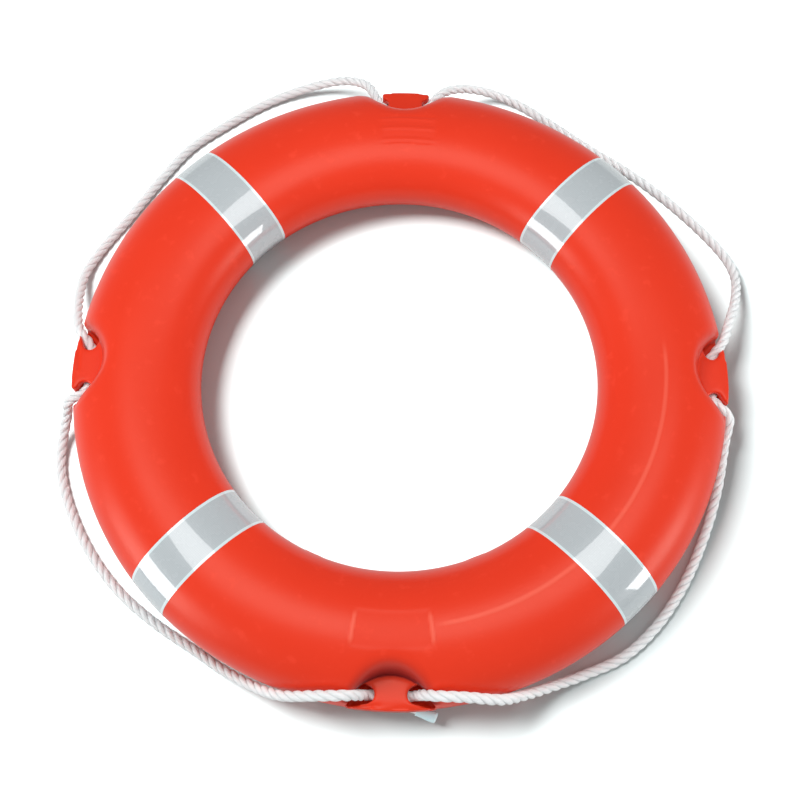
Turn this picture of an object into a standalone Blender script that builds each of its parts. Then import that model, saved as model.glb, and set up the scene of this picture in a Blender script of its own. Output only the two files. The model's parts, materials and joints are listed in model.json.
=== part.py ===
"""Foam-filled life ring: moulded shell, foam core, reflective bands and grab line.

Metres, +Z up. The ring lies on the plane Z = 0 with its axis on Z. The four lugs
that carry the grab line stand on +X, +Y, -X and -Y, the bands half way between.
"""

from math import acos, ceil, cos, pi, radians, sin, sqrt

import bmesh
import bpy
from mathutils import Matrix, Vector

# Ring and shell
OUTER_DIAMETER = 0.730
INNER_DIAMETER = 0.447
THICKNESS = 0.105
LAND_DEPTH = 0.0006          # what the flat rest land takes off the round underside
SHELL_WALL = 0.004
FIT_GAP = 0.0003             # between two solids that touch

# Lugs, scoops and the grab line that they carry
LUG_COUNT = 4
LINE_DIAMETER = 0.011
LINE_INSET = 0.015           # from the ring's outer edge in to the line at a lug
TUNNEL_CLEARANCE = 0.0005    # round the line, in a lug's tunnel
LUG_WAIST = 0.033
LUG_FLARE_RADIUS = 0.009
LUG_PROUD = 0.001            # how far a lug stands out of the ring's outer edge
LUG_THICKNESS = 0.027
SCOOP_FLOOR_CLEARANCE = 0.0008   # under the line, on a scoop's floor
SCOOP_OVERHANG = 0.007       # from the ring's outer edge out to the scoop's centre
SCOOP_FOOT_SHARE = 0.2403    # of the section's width, in to the wall's foot
SCOOP_FOOT_HALF_LENGTH = 0.051
SCOOP_RIM_SHARE = 0.3392     # of the section's width, in to the wall's top
SCOOP_RIM_HALF_LENGTH = 0.060
LINE_STICK_OUT = 0.0005      # held line standing out of a lug's waist

# Reflective bands, let into the shell
BAND_WIDTH = 0.050
BAND_THICKNESS = 0.0005
BAND_SUNK = 0.0002           # the band's face below the shell's

# Filling hole and vent, on the ring's inner side
PLUG_AZIMUTHS = (292.5, 247.5)
PLUG_HEAD_DIAMETER = 0.024
PLUG_HEAD_THICKNESS = 0.0015
PLUG_STEM_DIAMETER = 0.017
PLUG_STEM_LENGTH = 0.0019

# The line's spare end below the lug on -Y: along, outward of the line, and height
# below the line, in metres
TAIL_ROUTE = (
    (0.0000, 0.0000, 0.0155), (0.0035, 0.0013, 0.0215), (0.0125, 0.0052, 0.0258),
    (0.0230, 0.0101, 0.0274), (0.0460, 0.0195, 0.0282),
)
CAP_WALL = 0.0006
CAP_LENGTH = 0.022

# Free stretches of the grab line, from each lug to the next one round: azimuth
# from the first lug in degrees, outward of the ring's edge and height in millimetres
LOOP_ROUTES = (
    (
        (4.8, -8.7, 53.2), (6.8, 3.5, 53.6), (10.4, 18.0, 46.3), (16.1, 45.3, 26.7), (20.4, 61.4, 13.1),
        (24.3, 64.7, 6.5), (30.0, 57.8, 5.7), (38.0, 48.1, 5.8), (46.0, 40.8, 5.7), (54.5, 36.1, 5.7),
        (63.0, 42.4, 5.7), (69.5, 51.3, 6.9), (73.7, 50.7, 14.5), (78.0, 41.1, 29.4), (81.7, 23.6, 45.0),
        (83.8, 4.4, 54.9), (85.2, -9.0, 54.3),
    ),
    (
        (4.9, -9.8, 54.4), (5.8, 4.8, 54.4), (7.0, 26.5, 45.9), (9.9, 46.6, 32.7), (13.7, 57.7, 20.8),
        (19.1, 63.3, 10.6), (25.3, 63.0, 6.4), (33.1, 57.9, 5.7), (40.3, 55.6, 5.8), (48.0, 46.2, 5.7),
        (56.4, 40.1, 5.7), (64.7, 43.9, 5.7), (69.5, 44.4, 8.9), (73.9, 35.1, 20.2), (80.3, 15.3, 42.0),
        (83.0, 3.5, 52.0), (85.1, -9.8, 52.4),
    ),
    (
        (4.9, -8.6, 54.0), (5.8, 6.5, 50.0), (7.3, 15.4, 28.3), (10.4, 25.5, 11.8), (14.7, 32.5, 6.4),
        (20.8, 33.2, 5.7), (29.5, 29.8, 5.7), (38.1, 23.6, 5.7), (46.3, 14.7, 5.7), (55.2, 6.8, 7.0),
        (61.0, 6.6, 15.8), (68.1, 6.5, 42.5), (72.6, 5.4, 66.7), (78.5, -3.6, 86.8), (82.0, -8.0, 88.7),
        (84.3, -11.4, 75.5), (85.4, -13.2, 59.6),
    ),
    (
        (4.6, -14.1, 59.9), (5.6, -12.8, 78.6), (8.1, -9.2, 91.8), (12.0, -4.7, 86.6), (17.5, 4.9, 69.5),
        (21.4, 7.0, 45.2), (26.6, 9.6, 20.4), (32.4, 15.5, 7.2), (39.4, 24.7, 5.7), (46.6, 25.7, 5.7),
        (55.4, 21.5, 5.7), (64.5, 16.2, 6.3), (72.0, 11.8, 15.1), (79.7, 6.3, 34.9), (83.3, 4.6, 50.2),
        (85.05, -8.6, 53.6),
    ),
)
LOOP_NAMES = (
    "grab_line_rear_right", "grab_line_rear_left",
    "grab_line_front_left", "grab_line_front_right",
)
MILLIMETRE = 0.001
LINE_STEP = 0.050            # longest straight step of a free stretch

# Number of facets
RING_STEPS = 64
SECTION_POINTS = 25
SCOOP_POINTS = 13
LINE_SIDES_RESOLUTION = 2
HOLE_SIDES = 24

# Worked out from the sizes above
OUTER_RADIUS = OUTER_DIAMETER / 2
SECTION_RADIUS = (OUTER_DIAMETER + INNER_DIAMETER) / 4
HALF_WIDTH = (OUTER_DIAMETER - INNER_DIAMETER) / 4
HALF_HEIGHT = (THICKNESS + LAND_DEPTH) / 2
MID_HEIGHT = THICKNESS - HALF_HEIGHT
LINE_RADIUS = LINE_DIAMETER / 2
LUG_LINE_REACH = OUTER_RADIUS - LINE_INSET
HELD_HALF_LENGTH = LUG_WAIST / 2 + LINE_STICK_OUT
LOOP_END_ALONG = HELD_HALF_LENGTH + FIT_GAP + LINE_RADIUS
SCOOP_FLOOR = MID_HEIGHT - LINE_RADIUS - SCOOP_FLOOR_CLEARANCE
SCOOP_CENTRE = OUTER_RADIUS + SCOOP_OVERHANG
SCOOP_FOOT_REACH = 2 * HALF_WIDTH * SCOOP_FOOT_SHARE
SCOOP_RIM_REACH = 2 * HALF_WIDTH * SCOOP_RIM_SHARE
BAND_RECESS = BAND_SUNK + BAND_THICKNESS + FIT_GAP
BEYOND = 0.005               # how far a cutter reaches past what it cuts


def finish(name, colour, roughness):
    """A plain surface finish."""
    material = bpy.data.materials.new(name)
    material.use_nodes = True
    shader = material.node_tree.nodes["Principled BSDF"]
    shader.inputs["Base Color"].default_value = (*colour, 1)
    shader.inputs["Roughness"].default_value = roughness
    shader.inputs["Metallic"].default_value = 0
    material.diffuse_color = (*colour, 1)
    return material


def add_object(name, data, material=None):
    """Put a mesh or curve in the scene; one without a finish is a cutter."""
    piece = bpy.data.objects.new(name, data)
    bpy.context.collection.objects.link(piece)
    if material:
        data.materials.append(material)
    else:
        piece.hide_render = True
        piece.display_type = "WIRE"
    return piece


def mesh_object(name, bm, material=None):
    """Turn a bmesh into an object whose faces point out."""
    bmesh.ops.recalc_face_normals(bm, faces=bm.faces)
    mesh = bpy.data.meshes.new(name)
    bm.to_mesh(mesh)
    bm.free()
    if material:
        mesh.shade_smooth()
        mesh.set_sharp_from_angle(angle=radians(35))
    return add_object(name, mesh, material)


def cut(piece, cutter, operation="DIFFERENCE"):
    """Cut, join or keep the common part of two solids."""
    boolean = piece.modifiers.new(cutter.name, "BOOLEAN")
    boolean.operation = operation
    boolean.solver = "EXACT"
    boolean.object = cutter


def place(azimuth, reach, along, height):
    """A point given from a spoke at an azimuth: out along it, across it, and up."""
    outward = Vector((cos(azimuth), sin(azimuth), 0))
    across = Vector((-sin(azimuth), cos(azimuth), 0))
    return outward * reach + across * along + Vector((0, 0, height))


def spokes(first=0.0):
    """Azimuths of the lugs, or of what stands at an angle from them."""
    return [radians(first) + 2 * pi * i / LUG_COUNT for i in range(LUG_COUNT)]


def section_point(angle, inset):
    """Radius and height of the ring's section, an ellipse drawn in by an inset."""
    radius = SECTION_RADIUS + (HALF_WIDTH - inset) * cos(angle)
    return radius, MID_HEIGHT + (HALF_HEIGHT - inset) * sin(angle)


def ring_solid(bm, inset):
    """The ring turned from its section, with the flat rest land below."""
    land = acos(1 - LAND_DEPTH / HALF_HEIGHT)
    first = -pi / 2 + land
    step = (2 * pi - 2 * land) / (SECTION_POINTS - 1)
    profile = []
    for i in range(SECTION_POINTS):
        radius, height = section_point(first + i * step, inset)
        profile.append(bm.verts.new((radius, 0, height)))
    edges = [bm.edges.new((profile[i - 1], profile[i])) for i in range(SECTION_POINTS)]
    bmesh.ops.spin(
        bm, geom=profile + edges, axis=(0, 0, 1), cent=(0, 0, 0),
        angle=2 * pi, steps=RING_STEPS, use_merge=True,
    )


def loft(bm, outlines):
    """A solid through a stack of outlines with as many points each."""
    rings = [[bm.verts.new(point) for point in outline] for outline in outlines]
    bm.faces.new(rings[0])
    bm.faces.new(rings[-1])
    for lower, upper in zip(rings, rings[1:]):
        for i in range(len(lower)):
            bm.faces.new((lower[i - 1], lower[i], upper[i], upper[i - 1]))


def slab(bm, azimuth, width, inner, outer):
    """An upright block across the ring, square to a spoke."""
    corners = ((inner, -1), (outer, -1), (outer, 1), (inner, 1))
    loft(bm, [
        [place(azimuth, reach, side * width / 2, height) for reach, side in corners]
        for height in (-BEYOND, THICKNESS + BEYOND)
    ])


def rod(bm, start, end, radius):
    """A round bar between two points."""
    axis = end - start
    turn = Vector((0, 0, 1)).rotation_difference(axis).to_matrix().to_4x4()
    bmesh.ops.create_cone(
        bm, segments=HOLE_SIDES, radius1=radius, radius2=radius, depth=axis.length,
        cap_ends=True, matrix=Matrix.Translation((start + end) / 2) @ turn,
    )


def scoop_outline(azimuth, reach_in, half_length, height):
    """Half an ellipse, open to the outside, round a lug at one height."""
    depth = reach_in + SCOOP_OVERHANG
    arc = [pi * i / (SCOOP_POINTS - 1) for i in range(SCOOP_POINTS)]
    outline = [
        place(azimuth, SCOOP_CENTRE - depth * sin(a), -half_length * cos(a), height)
        for a in arc
    ]
    outer = SCOOP_CENTRE + BEYOND
    return outline + [
        place(azimuth, outer, half_length, height),
        place(azimuth, outer, -half_length, height),
    ]


def scoop(bm, azimuth, floor, lug_face, crest, past_crest):
    """The hollow over or under a lug: upright at its foot, then leaning back."""
    foot = (SCOOP_FOOT_REACH, SCOOP_FOOT_HALF_LENGTH)
    rim = (SCOOP_RIM_REACH, SCOOP_RIM_HALF_LENGTH)
    levels = [(foot, lug_face), (rim, crest), (rim, past_crest)]
    if floor is not None:
        levels.insert(0, (foot, floor))
    loft(bm, [scoop_outline(azimuth, *size, height) for size, height in levels])


def lug(bm, azimuth):
    """One waisted lug, rooted in the scoop's wall."""
    widest = LUG_WAIST / 2 + LUG_FLARE_RADIUS
    root = OUTER_RADIUS - SCOOP_FOOT_REACH - SHELL_WALL
    edge = OUTER_RADIUS + LUG_PROUD
    side = [(root, widest)]
    for i in range(9):
        angle = pi * i / 8
        along = widest - LUG_FLARE_RADIUS * sin(angle)
        side.append((LUG_LINE_REACH - LUG_FLARE_RADIUS * cos(angle), along))
    for i in range(3):
        along = widest * (1 - i / 3)
        side.append((sqrt(edge ** 2 - along ** 2), along))
    plan = side + [(edge, 0)] + [(reach, -along) for reach, along in reversed(side)]
    heights = (MID_HEIGHT - LUG_THICKNESS / 2, MID_HEIGHT + LUG_THICKNESS / 2)
    loft(bm, [[place(azimuth, *point, height) for point in plan] for height in heights])


def smooth_route(points, longest):
    """Points on a centripetal spline through a route, no step over the longest."""
    ends = (2 * points[0] - points[1], 2 * points[-1] - points[-2])
    chain = [ends[0], *points, ends[1]]
    route = []
    for p0, p1, p2, p3 in zip(chain, chain[1:], chain[2:], chain[3:]):
        t1 = sqrt((p1 - p0).length)
        t2 = t1 + sqrt((p2 - p1).length)
        t3 = t2 + sqrt((p3 - p2).length)
        count = ceil((p2 - p1).length / longest)
        for i in range(count):
            t = t1 + (t2 - t1) * i / count
            a1 = p0.lerp(p1, t / t1)
            a2 = p1.lerp(p2, (t - t1) / (t2 - t1))
            a3 = p2.lerp(p3, (t - t2) / (t3 - t2))
            b1 = a1.lerp(a2, t / t2)
            b2 = a2.lerp(a3, (t - t1) / (t3 - t1))
            route.append(b1.lerp(b2, (t - t1) / (t2 - t1)))
    route.append(points[-1])
    return route


def tube(name, points, radii, origin, material):
    """A round tube along a chain of points, each with its own radius."""
    curve = bpy.data.curves.new(name, "CURVE")
    curve.dimensions = "3D"
    curve.bevel_depth = 1
    curve.bevel_resolution = LINE_SIDES_RESOLUTION
    curve.use_fill_caps = True
    spline = curve.splines.new("POLY")
    spline.points.add(len(points) - 1)
    for node, point, radius in zip(spline.points, points, radii):
        node.co = (*(point - origin), 1)
        node.radius = radius
    piece = add_object(name, curve, material)
    piece.location = origin
    return piece


def build_cutters():
    """Everything that shapes the shell, the core and the bands."""
    low = MID_HEIGHT - LUG_THICKNESS / 2
    high = MID_HEIGHT + LUG_THICKNESS / 2
    cutters = {}

    bm = bmesh.new()
    for azimuth in spokes():
        scoop(bm, azimuth, SCOOP_FLOOR, high, THICKNESS, THICKNESS + BEYOND)
        scoop(bm, azimuth, None, low, 0, -BEYOND)
    cutters["scoops"] = mesh_object("scoops", bm)

    bm = bmesh.new()
    for azimuth in spokes():
        lug(bm, azimuth)
    cutters["lugs"] = mesh_object("lugs", bm)

    bm = bmesh.new()
    reach = LUG_WAIST / 2 + LUG_FLARE_RADIUS / 2
    for azimuth in spokes():
        rod(
            bm, place(azimuth, LUG_LINE_REACH, -reach, MID_HEIGHT),
            place(azimuth, LUG_LINE_REACH, reach, MID_HEIGHT), LINE_RADIUS + TUNNEL_CLEARANCE,
        )
    cutters["tunnels"] = mesh_object("tunnels", bm)

    bm = bmesh.new()
    rod(
        bm, place(-pi / 2, LUG_LINE_REACH, 0, low - BEYOND),
        place(-pi / 2, LUG_LINE_REACH, 0, MID_HEIGHT), LINE_RADIUS + TUNNEL_CLEARANCE,
    )
    cutters["tail_hole"] = mesh_object("tail_hole", bm)

    bm = bmesh.new()
    half = SCOOP_RIM_HALF_LENGTH + SHELL_WALL
    inner = OUTER_RADIUS - SCOOP_RIM_REACH - SHELL_WALL
    for azimuth in spokes():
        slab(bm, azimuth, 2 * half, inner, OUTER_RADIUS + BEYOND)
    cutters["solid_zones"] = mesh_object("solid_zones", bm)

    for name, inset in (("cavity", SHELL_WALL), ("core_form", SHELL_WALL + FIT_GAP)):
        bm = bmesh.new()
        ring_solid(bm, inset)
        cutters[name] = mesh_object(name, bm)
    cut(cutters["cavity"], cutters["solid_zones"])

    inner = INNER_DIAMETER / 2 - BEYOND
    outer = OUTER_RADIUS + BEYOND
    bm = bmesh.new()
    for azimuth in spokes(180 / LUG_COUNT):
        slab(bm, azimuth, BAND_WIDTH + 2 * FIT_GAP, inner, outer)
    cutters["band_slots"] = mesh_object("band_slots", bm)
    for name, inset in (("band_floor", BAND_RECESS), ("band_back", BAND_RECESS - FIT_GAP)):
        bm = bmesh.new()
        ring_solid(bm, inset)
        cutters[name] = mesh_object(name, bm)
    bm = bmesh.new()
    ring_solid(bm, -BEYOND / 2)
    cutters["band_recesses"] = mesh_object("band_recesses", bm)
    cut(cutters["band_recesses"], cutters["band_floor"])
    cut(cutters["band_recesses"], cutters["band_slots"], "INTERSECT")

    bm = bmesh.new()
    surface = INNER_DIAMETER / 2
    for azimuth in map(radians, PLUG_AZIMUTHS):
        seat = place(azimuth, surface + PLUG_HEAD_THICKNESS + FIT_GAP, 0, MID_HEIGHT)
        rod(
            bm, place(azimuth, surface - BEYOND, 0, MID_HEIGHT), seat,
            PLUG_HEAD_DIAMETER / 2 + FIT_GAP,
        )
    cutters["plug_seats"] = mesh_object("plug_seats", bm)
    bm = bmesh.new()
    for azimuth in map(radians, PLUG_AZIMUTHS):
        rod(
            bm, place(azimuth, surface - BEYOND, 0, MID_HEIGHT),
            place(azimuth, surface + SHELL_WALL + BEYOND, 0, MID_HEIGHT),
            PLUG_STEM_DIAMETER / 2 + FIT_GAP,
        )
    cutters["plug_holes"] = mesh_object("plug_holes", bm)
    return cutters


def build_shell(cutters, plastic):
    """The hollow moulded shell with its scoops and lugs."""
    bm = bmesh.new()
    ring_solid(bm, 0)
    shell = mesh_object("ring_shell", bm, plastic)
    cut(shell, cutters["scoops"])
    cut(shell, cutters["lugs"], "UNION")
    for name in ("tunnels", "tail_hole", "band_recesses", "cavity", "plug_seats", "plug_holes"):
        cut(shell, cutters[name])
    return shell


def build_core(cutters, foam):
    """The foam that fills the shell, clear of it by the fit gap."""
    bm = bmesh.new()
    half = SCOOP_RIM_HALF_LENGTH + SHELL_WALL + FIT_GAP
    inner = OUTER_RADIUS - SCOOP_RIM_REACH - SHELL_WALL - FIT_GAP
    for azimuth in spokes():
        slab(bm, azimuth, 2 * half, inner, OUTER_RADIUS + BEYOND)
    zones = mesh_object("core_zones", bm)
    bm = bmesh.new()
    ring_solid(bm, SHELL_WALL + FIT_GAP)
    core = mesh_object("foam_core", bm, foam)
    cut(core, zones)
    return core


def build_bands(cutters, sheeting):
    """Four closed bands of reflective sheeting round the section."""
    inner = INNER_DIAMETER / 2 - BEYOND
    outer = OUTER_RADIUS + BEYOND
    for i, azimuth in enumerate(spokes(180 / LUG_COUNT)):
        bm = bmesh.new()
        slab(bm, azimuth, BAND_WIDTH, inner, outer)
        window = mesh_object(f"band_window_{i + 1}", bm)
        bm = bmesh.new()
        ring_solid(bm, BAND_SUNK)
        band = mesh_object(f"reflective_band_{i + 1}", bm, sheeting)
        cut(band, window, "INTERSECT")
        cut(band, cutters["band_back"])


def build_plugs(plastic):
    """The plugs in the filling hole and the vent."""
    surface = INNER_DIAMETER / 2
    for name, azimuth in zip(("filler_plug", "vent_plug"), map(radians, PLUG_AZIMUTHS)):
        bm = bmesh.new()
        rod(
            bm, place(azimuth, surface, 0, MID_HEIGHT),
            place(azimuth, surface + PLUG_HEAD_THICKNESS, 0, MID_HEIGHT), PLUG_HEAD_DIAMETER / 2,
        )
        plug = mesh_object(name, bm, plastic)
        bm = bmesh.new()
        rod(
            bm, place(azimuth, surface + PLUG_HEAD_THICKNESS / 2, 0, MID_HEIGHT),
            place(azimuth, surface + PLUG_HEAD_THICKNESS + PLUG_STEM_LENGTH, 0, MID_HEIGHT),
            PLUG_STEM_DIAMETER / 2,
        )
        stem = mesh_object(f"{name}_stem", bm)
        cut(plug, stem, "UNION")


def build_held_line(rope):
    """The short stretches of line inside the lugs."""
    for i, azimuth in enumerate(spokes()):
        bm = bmesh.new()
        rod(
            bm, place(azimuth, LUG_LINE_REACH, -HELD_HALF_LENGTH, MID_HEIGHT),
            place(azimuth, LUG_LINE_REACH, HELD_HALF_LENGTH, MID_HEIGHT), LINE_RADIUS,
        )
        mesh_object(f"line_in_lug_{i + 1}", bm, rope)


def rounded_ends(points):
    """Add a smaller ring past each end, so that the end lies within a ball."""
    lean = radians(63)
    first = points[0] - (points[1] - points[0]).normalized() * LINE_RADIUS * sin(lean)
    last = points[-1] - (points[-2] - points[-1]).normalized() * LINE_RADIUS * sin(lean)
    tip = LINE_RADIUS * cos(lean)
    radii = [tip, *[LINE_RADIUS] * len(points), tip]
    return [first, *points, last], radii


def build_loops(rope):
    """The free stretches, each hung between two lugs on the chord between them."""
    lugs = spokes()
    for i, (name, route) in enumerate(zip(LOOP_NAMES, LOOP_ROUTES)):
        start = place(lugs[i], LUG_LINE_REACH, LOOP_END_ALONG, MID_HEIGHT)
        end = place(lugs[(i + 1) % LUG_COUNT], LUG_LINE_REACH, -LOOP_END_ALONG, MID_HEIGHT)
        points = [start]
        for azimuth, outward, height in route:
            reach = OUTER_RADIUS + outward * MILLIMETRE
            points.append(place(lugs[i] + radians(azimuth), reach, 0, height * MILLIMETRE))
        points.append(end)
        points, radii = rounded_ends(smooth_route(points, LINE_STEP))
        tube(name, points, radii, (start + end) / 2, rope)


def build_tail(rope, cap_plastic):
    """The line's spare end, led out below its lug, and the cap shrunk on it."""
    origin = place(-pi / 2, LUG_LINE_REACH, 0, MID_HEIGHT)
    points = [origin - Vector((0, 0, LINE_RADIUS + FIT_GAP))]
    for along, outward, drop in TAIL_ROUTE:
        points.append(place(-pi / 2, LUG_LINE_REACH + outward, along, MID_HEIGHT - drop))
    points = smooth_route(points, LINE_STEP)
    tube("line_tail", points, [LINE_RADIUS] * len(points), origin, rope)

    along = (points[-1] - points[-2]).normalized()
    mouth = points[-1] - along * CAP_LENGTH
    bore = points[-1] + along * FIT_GAP
    outer = LINE_RADIUS + FIT_GAP + CAP_WALL
    bm = bmesh.new()
    rod(bm, mouth, bore + along * CAP_WALL, outer)
    cap = mesh_object("line_tail_cap", bm, cap_plastic)
    bm = bmesh.new()
    rod(bm, mouth - along * BEYOND, bore, LINE_RADIUS + FIT_GAP)
    cut(cap, mesh_object("cap_bore", bm))


def build():
    for existing in list(bpy.data.objects):
        bpy.data.objects.remove(existing)
    plastic = finish("orange_plastic", (0.82, 0.055, 0.025), 0.35)
    foam = finish("rigid_foam", (0.85, 0.78, 0.55), 0.9)
    sheeting = finish("reflective_sheeting", (0.45, 0.49, 0.52), 0.25)
    rope = finish("white_rope", (0.85, 0.86, 0.86), 0.75)
    cap_plastic = finish("pale_cap", (0.72, 0.86, 0.90), 0.4)
    cutters = build_cutters()
    build_shell(cutters, plastic)
    build_core(cutters, foam)
    build_plugs(plastic)
    build_bands(cutters, sheeting)
    build_held_line(rope)
    build_loops(rope)
    build_tail(rope, cap_plastic)


build()
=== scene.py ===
"""Life ring with a grab line: the looks of every piece, over the CAD frame.

Metres, +Z up. The ring lies on Z = 0 with its axis on Z, and its lugs stand on +X,
+Y, -X and -Y. Azimuths are counted from +X.
"""

import json
from math import atan2, ceil, cos, hypot, pi, radians, sin, sqrt

import bmesh
import bpy
from mathutils import Matrix, Vector
from mathutils.kdtree import KDTree

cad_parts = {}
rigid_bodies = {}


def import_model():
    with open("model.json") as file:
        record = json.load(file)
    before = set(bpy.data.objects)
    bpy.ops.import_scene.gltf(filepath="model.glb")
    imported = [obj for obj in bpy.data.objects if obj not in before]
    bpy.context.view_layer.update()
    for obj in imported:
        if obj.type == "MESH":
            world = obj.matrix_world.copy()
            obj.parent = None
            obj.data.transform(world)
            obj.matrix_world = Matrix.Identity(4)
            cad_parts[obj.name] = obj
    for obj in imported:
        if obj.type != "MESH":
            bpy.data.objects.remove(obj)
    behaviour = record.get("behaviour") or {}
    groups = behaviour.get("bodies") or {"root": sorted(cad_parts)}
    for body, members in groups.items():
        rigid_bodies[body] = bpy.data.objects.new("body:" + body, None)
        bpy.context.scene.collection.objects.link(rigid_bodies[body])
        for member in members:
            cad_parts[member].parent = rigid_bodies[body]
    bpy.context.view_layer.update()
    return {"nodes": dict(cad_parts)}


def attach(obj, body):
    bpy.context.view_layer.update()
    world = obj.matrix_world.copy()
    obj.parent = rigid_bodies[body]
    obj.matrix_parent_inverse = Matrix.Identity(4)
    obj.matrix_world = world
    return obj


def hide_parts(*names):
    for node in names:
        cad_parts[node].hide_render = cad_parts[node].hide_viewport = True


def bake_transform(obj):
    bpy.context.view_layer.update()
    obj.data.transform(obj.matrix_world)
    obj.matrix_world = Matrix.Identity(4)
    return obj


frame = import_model()


# Camera. A normal lens stands over the front edge of the ring and looks down on it,
# so that the far side is only a little smaller than the near one.
CAMERA_STAND = Vector((0.00033, -0.4282, 1.1775))
CAMERA_ELEVATION = radians(70.54)
CAMERA_ROLL = radians(1.87)
RING_TURN = radians(3.04)

back = Vector((0, -cos(CAMERA_ELEVATION), sin(CAMERA_ELEVATION)))
right = Vector((1, 0, 0))
up = back.cross(right)
axes = Matrix((
    right * cos(CAMERA_ROLL) - up * sin(CAMERA_ROLL),
    right * sin(CAMERA_ROLL) + up * cos(CAMERA_ROLL),
    back,
)).transposed()
camera = bpy.data.objects.new("camera", bpy.data.cameras.new("camera"))
camera.data.lens = 48.03
camera.data.sensor_width = 36
camera.matrix_world = (
    Matrix.Rotation(RING_TURN, 4, "Z") @ Matrix.Translation(CAMERA_STAND) @ axes.to_4x4()
)
bpy.context.scene.collection.objects.link(camera)
bpy.context.scene.camera = camera


# Grab line. White three-strand polypropylene rope, laid right-handed, reeved through
# the four lugs and left slack between them.
ROPE_DIAMETER = 0.011
STRAND_RADIUS = 0.00340
STRAND_REACH = 0.00235       # from the rope's middle to a strand's
ROPE_LAY = 0.036             # one turn of a strand
STRANDS = 3
STRAND_STEP = 0.0024
STRAND_YARNS = 14
MERGE_DISTANCE = 0.00001

OUTER_RADIUS = 0.365
MID_HEIGHT = 0.0522
LUG_LINE_REACH = 0.350       # from the ring's axis to the line in a lug
LOOP_START_ALONG = 0.0228    # where a free stretch leaves its lug
INSIDE_LUG_ALONG = 0.0100    # where its rope goes on to, inside the lug

# Azimuth from the first lug, outward of the ring's edge, and height
LOOP_ROUTES = {
    "rear_right": (
        (4.8, -0.0087, 0.0532), (6.8, 0.0035, 0.0536), (10.4, 0.0180, 0.0463),
        (16.1, 0.0453, 0.0267), (20.4, 0.0614, 0.0131), (24.3, 0.0647, 0.0065),
        (30, 0.0578, 0.0057), (38, 0.0481, 0.0058), (46, 0.0408, 0.0057),
        (54.5, 0.0361, 0.0057), (63, 0.0424, 0.0057), (69.5, 0.0513, 0.0069),
        (73.7, 0.0507, 0.0145), (78, 0.0411, 0.0294), (81.7, 0.0236, 0.0450),
        (83.8, 0.0044, 0.0549), (85.2, -0.0090, 0.0543),
    ),
    "rear_left": (
        (4.9, -0.0098, 0.0544), (5.8, 0.0048, 0.0544), (7, 0.0265, 0.0459),
        (9.9, 0.0466, 0.0327), (13.7, 0.0577, 0.0208), (19.1, 0.0633, 0.0106),
        (25.3, 0.0630, 0.0064), (33.1, 0.0579, 0.0057), (40.3, 0.0556, 0.0058),
        (48, 0.0462, 0.0057), (56.4, 0.0401, 0.0057), (64.7, 0.0439, 0.0057),
        (69.5, 0.0444, 0.0089), (73.9, 0.0351, 0.0202), (80.3, 0.0153, 0.0420),
        (83, 0.0035, 0.0520), (85.1, -0.0098, 0.0524),
    ),
    "front_left": (
        (4.9, -0.0086, 0.0540), (5.8, 0.0065, 0.0500), (7.3, 0.0154, 0.0283),
        (10.4, 0.0255, 0.0118), (14.7, 0.0325, 0.0064), (20.8, 0.0332, 0.0057),
        (29.5, 0.0298, 0.0057), (38.1, 0.0236, 0.0057), (46.3, 0.0147, 0.0057),
        (55.2, 0.0068, 0.0070), (61, 0.0066, 0.0158), (68.1, 0.0065, 0.0425),
        (72.6, 0.0054, 0.0667), (78.5, -0.0036, 0.0868), (82, -0.0080, 0.0887),
        (84.3, -0.0114, 0.0755), (85.4, -0.0132, 0.0596),
    ),
    "front_right": (
        (4.6, -0.0141, 0.0599), (5.6, -0.0128, 0.0786), (8.1, -0.0092, 0.0918),
        (12, -0.0047, 0.0866), (17.5, 0.0049, 0.0695), (21.4, 0.0070, 0.0452),
        (26.6, 0.0096, 0.0204), (32.4, 0.0155, 0.0072), (39.4, 0.0247, 0.0057),
        (46.6, 0.0257, 0.0057), (55.4, 0.0215, 0.0057), (64.5, 0.0162, 0.0063),
        (72, 0.0118, 0.0151), (79.7, 0.0063, 0.0349), (83.3, 0.0046, 0.0502),
        (85.05, -0.0086, 0.0536),
    ),
}
FOLLOWS_LUG = 0.258          # a point along a loop's middle spoke, worked out but not used
FOLLOWS_LOOP = 0.284         # a second one, further out along it


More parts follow.
